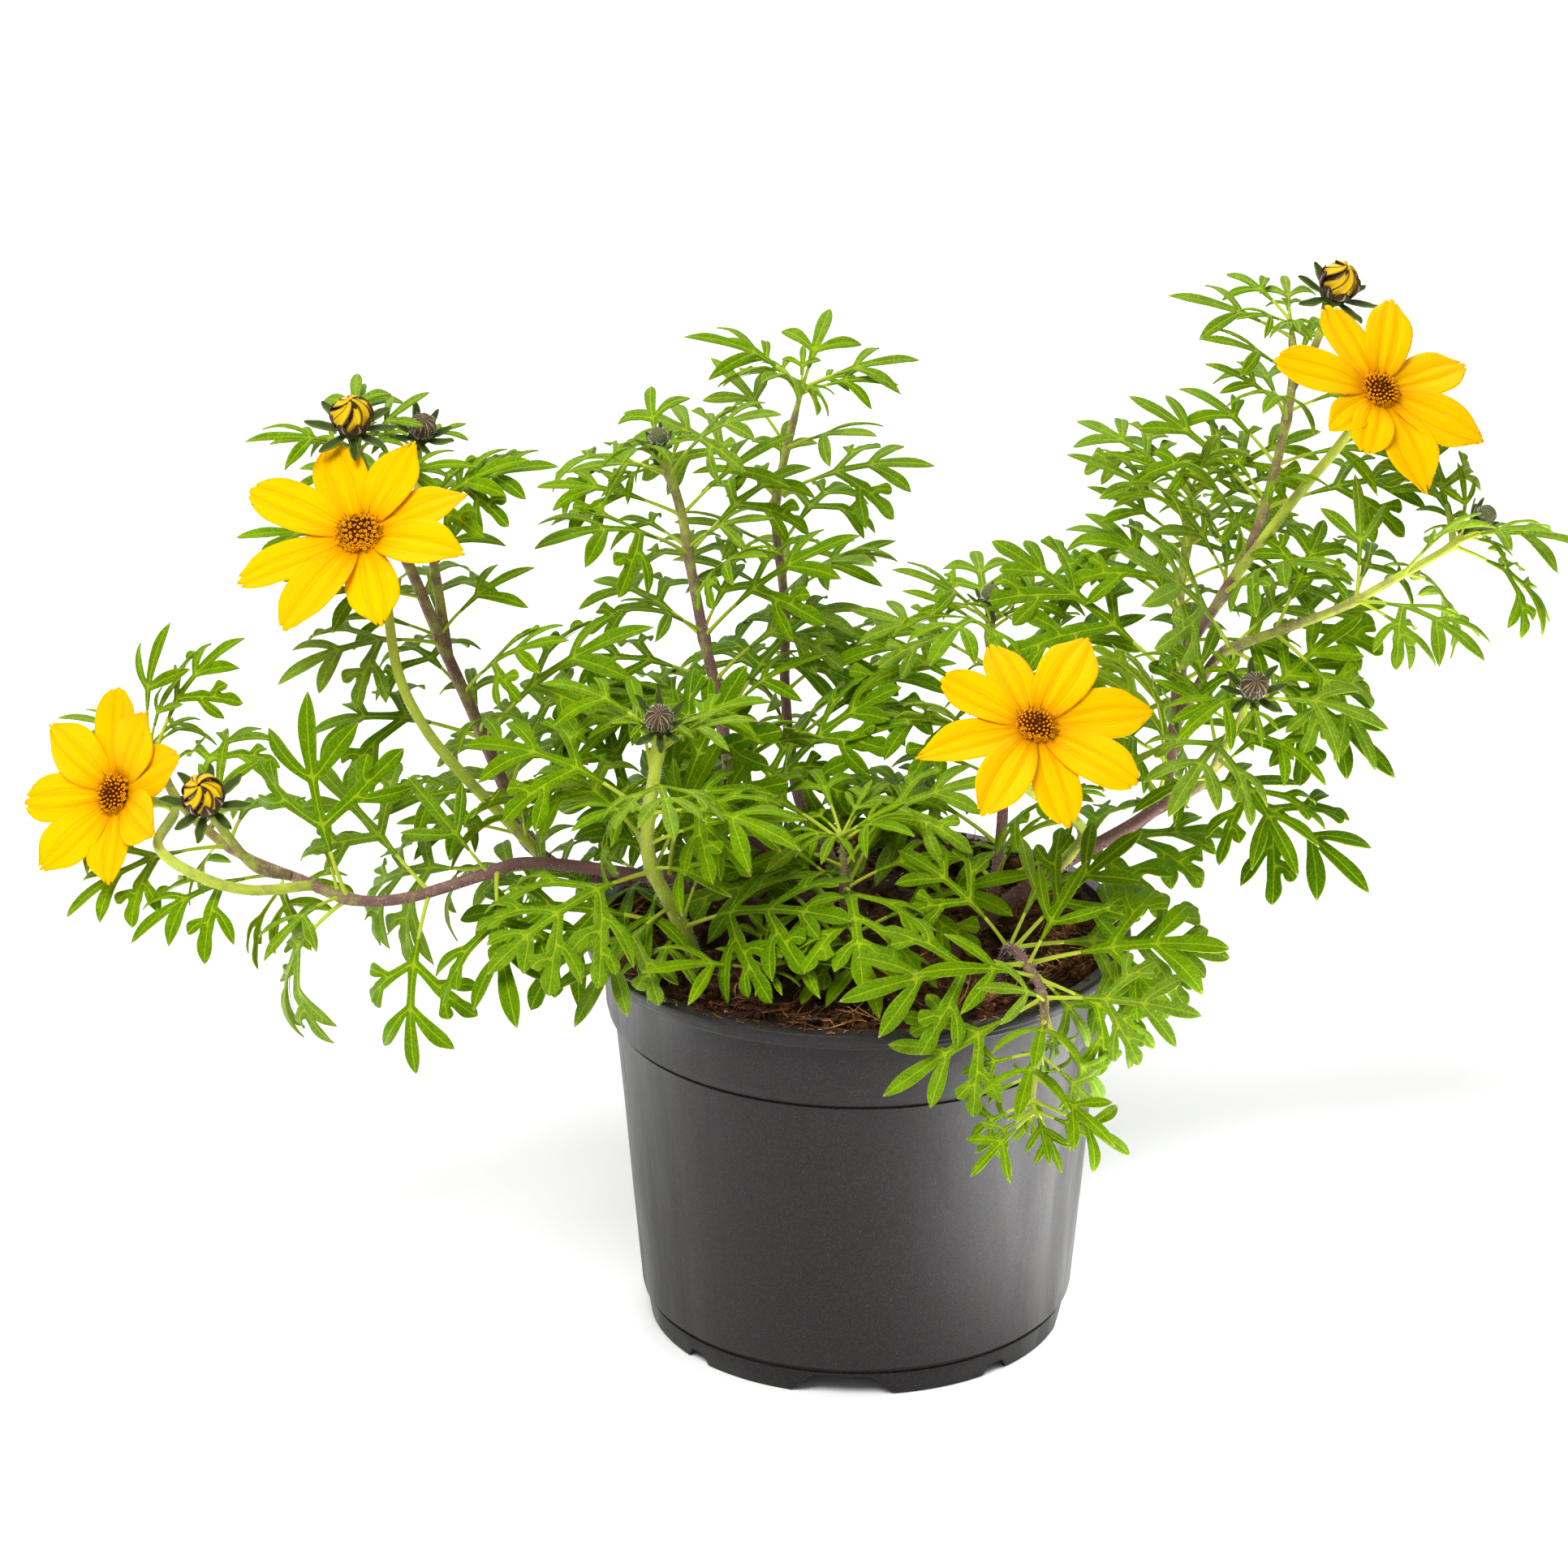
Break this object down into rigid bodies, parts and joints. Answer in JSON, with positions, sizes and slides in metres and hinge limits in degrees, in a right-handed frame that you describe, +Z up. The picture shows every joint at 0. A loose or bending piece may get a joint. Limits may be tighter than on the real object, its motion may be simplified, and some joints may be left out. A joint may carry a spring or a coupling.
{
  "type": "potted bidens",
  "caption": "Round tapered nursery pot filled with peat, with sprawling stems of finely cut leaves, yellow daisy-like blooms and small buds.",
  "frame": {"origin": "on the ground under the middle of the whole plant's bounding box; the pot's axis stands at x = 0.0129, y = -0.0059", "axes": "+Z up along the pot's axis, +X to the right and -Y to the front as the plant is seen from the front"},
  "size_m": [0.3326, 0.2064, 0.2353],
  "materials": {
    "pot_plastic": "satin, with fine moulded lines",
    "peat": "rough, fibrous and crumbly",
    "foliage": "soft sheen, with paler veins",
    "petal_yellow": "velvety, with lengthwise grooves",
    "floret_orange": "matt and grainy",
    "bud_yellow": "matt",
    "bud_brown": "matt, ribbed"
  },
  "bodies": {
    "root": {"pot": "pot_plastic", "soil": "peat", "leafy_stem_left_low": "foliage", "leafy_stem_left_tall": "foliage", "leafy_stem_back_left": "foliage", "leafy_stem_back": "foliage", "leafy_stem_front": "foliage", "leafy_stem_centre": "foliage", "leafy_stem_middle": "foliage", "leafy_stem_right_tall": "foliage", "leafy_stem_front_right": "foliage", "seedling": "foliage", "bloom_left_low_petals": "petal_yellow", "bloom_left_low_disc": "floret_orange", "bloom_left_high_petals": "petal_yellow", "bloom_left_high_disc": "floret_orange", "bloom_middle_petals": "petal_yellow", "bloom_middle_disc": "floret_orange", "bloom_right_high_petals": "petal_yellow", "bloom_right_high_disc": "floret_orange", "bud_left_low": "bud_yellow", "bud_left_high": "bud_yellow", "bud_right_high": "bud_yellow", "bud_left_back": "bud_brown", "bud_front": "bud_brown", "bud_right": "bud_brown"}
  },
  "joints": []
}
